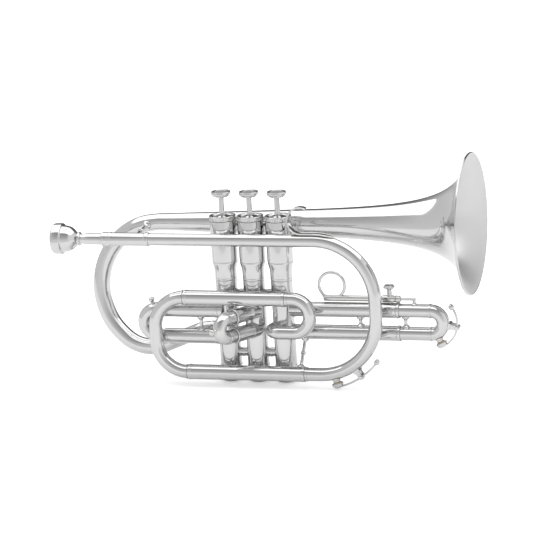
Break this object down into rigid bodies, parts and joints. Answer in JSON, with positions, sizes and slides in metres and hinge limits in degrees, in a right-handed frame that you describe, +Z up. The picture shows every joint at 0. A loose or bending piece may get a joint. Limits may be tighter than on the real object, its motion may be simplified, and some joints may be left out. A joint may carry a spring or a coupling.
{
  "type": "cornet",
  "caption": "Silver-plated piston-valve cornet with looped bell, sliding crooks, water keys, finger ring, little-finger hook and removable mouthpiece.",
  "frame": {"origin": "on the second valve's axis, at the flat bottom face of its bottom cap", "axes": "+X from the mouthpiece towards the bell along both bores, +Z up along the valves towards the finger buttons, -Y towards the leadpipe side"},
  "size_m": [0.3561, 0.1348, 0.1934],
  "materials": {
    "silver_plate": "polished silver plate over brass",
    "piston_metal": "honed nickel alloy",
    "spring_steel": "drawn spring wire",
    "pearl": "polished mother-of-pearl",
    "cork": "natural cork, matte"
  },
  "bodies": {
    "cornet_body": {"bell": "silver_plate", "crook_water_key_bracket": "silver_plate", "crook_water_key_spring": "spring_steel", "entry_crook": "silver_plate", "first_slide_brace": "silver_plate", "first_slide_lower_sleeve": "silver_plate", "first_slide_upper_sleeve": "silver_plate", "knuckle_1_2_lower": "silver_plate", "knuckle_1_2_upper": "silver_plate", "knuckle_2_3_lower": "silver_plate", "knuckle_2_3_upper": "silver_plate", "leadpipe": "silver_plate", "leadpipe_bell_brace": "silver_plate", "little_finger_hook": "silver_plate", "mouthpiece_receiver": "silver_plate", "second_slide_lower_sleeve": "silver_plate", "second_slide_upper_sleeve": "silver_plate", "slide_stay": "silver_plate", "third_slide_fixed_brace": "silver_plate", "third_slide_lower_sleeve": "silver_plate", "third_slide_upper_sleeve": "silver_plate", "tuning_slide_lower_sleeve": "silver_plate", "tuning_slide_upper_sleeve": "silver_plate", "valve_1_bottom_cap": "silver_plate", "valve_1_casing": "silver_plate", "valve_1_spring": "spring_steel", "valve_1_top_cap": "silver_plate", "valve_2_bottom_cap": "silver_plate", "valve_2_casing": "silver_plate", "valve_2_spring": "spring_steel", "valve_2_top_cap": "silver_plate", "valve_3_bottom_cap": "silver_plate", "valve_3_casing": "silver_plate", "valve_3_spring": "spring_steel", "valve_3_top_cap": "silver_plate"},
    "mouthpiece": {"mouthpiece": "silver_plate"},
    "tuning_slide": {"tuning_slide_bow": "silver_plate"},
    "first_slide": {"first_slide_bow": "silver_plate"},
    "second_slide": {"second_slide_bow": "silver_plate"},
    "third_slide": {"third_slide_bow": "silver_plate", "third_slide_moving_brace": "silver_plate", "third_slide_stop_rod": "silver_plate", "third_water_key_bracket": "silver_plate", "third_water_key_spring": "spring_steel"},
    "finger_ring": {"finger_ring": "silver_plate"},
    "finger_ring_thumb_screw": {"finger_ring_thumb_screw": "silver_plate"},
    "crook_water_key": {"crook_water_key_lever": "silver_plate", "crook_water_key_cork": "cork"},
    "third_water_key": {"third_water_key_lever": "silver_plate", "third_water_key_cork": "cork"},
    "valve_1": {"valve_1_piston": "piston_metal", "valve_1_button": "silver_plate", "valve_1_pearl": "pearl"},
    "valve_2": {"valve_2_piston": "piston_metal", "valve_2_button": "silver_plate", "valve_2_pearl": "pearl"},
    "valve_3": {"valve_3_piston": "piston_metal", "valve_3_button": "silver_plate", "valve_3_pearl": "pearl"}
  },
  "joints": [
    {"name": "mouthpiece_pull", "type": "slide", "parent": "cornet_body", "child": "mouthpiece", "axis": [-1, 0, 0], "range_m": [0, 0.03]},
    {"name": "tuning_slide_pull", "type": "slide", "parent": "cornet_body", "child": "tuning_slide", "axis": [-1, 0, 0], "range_m": [0, 0.045]},
    {"name": "first_slide_pull", "type": "slide", "parent": "cornet_body", "child": "first_slide", "axis": [-1, 0, 0], "range_m": [0, 0.025]},
    {"name": "second_slide_pull", "type": "slide", "parent": "cornet_body", "child": "second_slide", "axis": [-0.5, -0.866, 0], "range_m": [0, 0.01]},
    {"name": "third_slide_pull", "type": "slide", "parent": "cornet_body", "child": "third_slide", "axis": [1, 0, 0], "range_m": [0, 0.035]},
    {"name": "finger_ring_adjust", "type": "slide", "parent": "third_slide", "child": "finger_ring", "axis": [1, 0, 0], "range_m": [-0.01, 0.008]},
    {"name": "thumb_screw_turn", "type": "hinge", "parent": "finger_ring", "child": "finger_ring_thumb_screw", "pos_m": [0.118, 0, 0.0743], "axis": [0, 0, 1], "range_deg": [0, 180]},
    {"name": "crook_water_key_lever", "type": "hinge", "parent": "cornet_body", "child": "crook_water_key", "pos_m": [0.09561, -0.0195, 0.01148], "axis": [0, -1, 0], "range_deg": [0, 11], "stiffness_Nm_per_rad": 0.05, "springref_deg": -11.46},
    {"name": "third_water_key_lever", "type": "hinge", "parent": "third_slide", "child": "third_water_key", "pos_m": [0.17476, 0, 0.05055], "axis": [0, -1, 0], "range_deg": [0, 11], "stiffness_Nm_per_rad": 0.05, "springref_deg": -11.46},
    {"name": "valve_1_press", "type": "slide", "parent": "cornet_body", "child": "valve_1", "axis": [0, 0, -1], "range_m": [0, 0.015], "stiffness_N_per_m": 120, "springref_m": -0.02, "deforming": ["valve_1_spring"]},
    {"name": "valve_2_press", "type": "slide", "parent": "cornet_body", "child": "valve_2", "axis": [0, 0, -1], "range_m": [0, 0.015], "stiffness_N_per_m": 120, "springref_m": -0.02, "deforming": ["valve_2_spring"]},
    {"name": "valve_3_press", "type": "slide", "parent": "cornet_body", "child": "valve_3", "axis": [0, 0, -1], "range_m": [0, 0.015], "stiffness_N_per_m": 120, "springref_m": -0.02, "deforming": ["valve_3_spring"]}
  ]
}
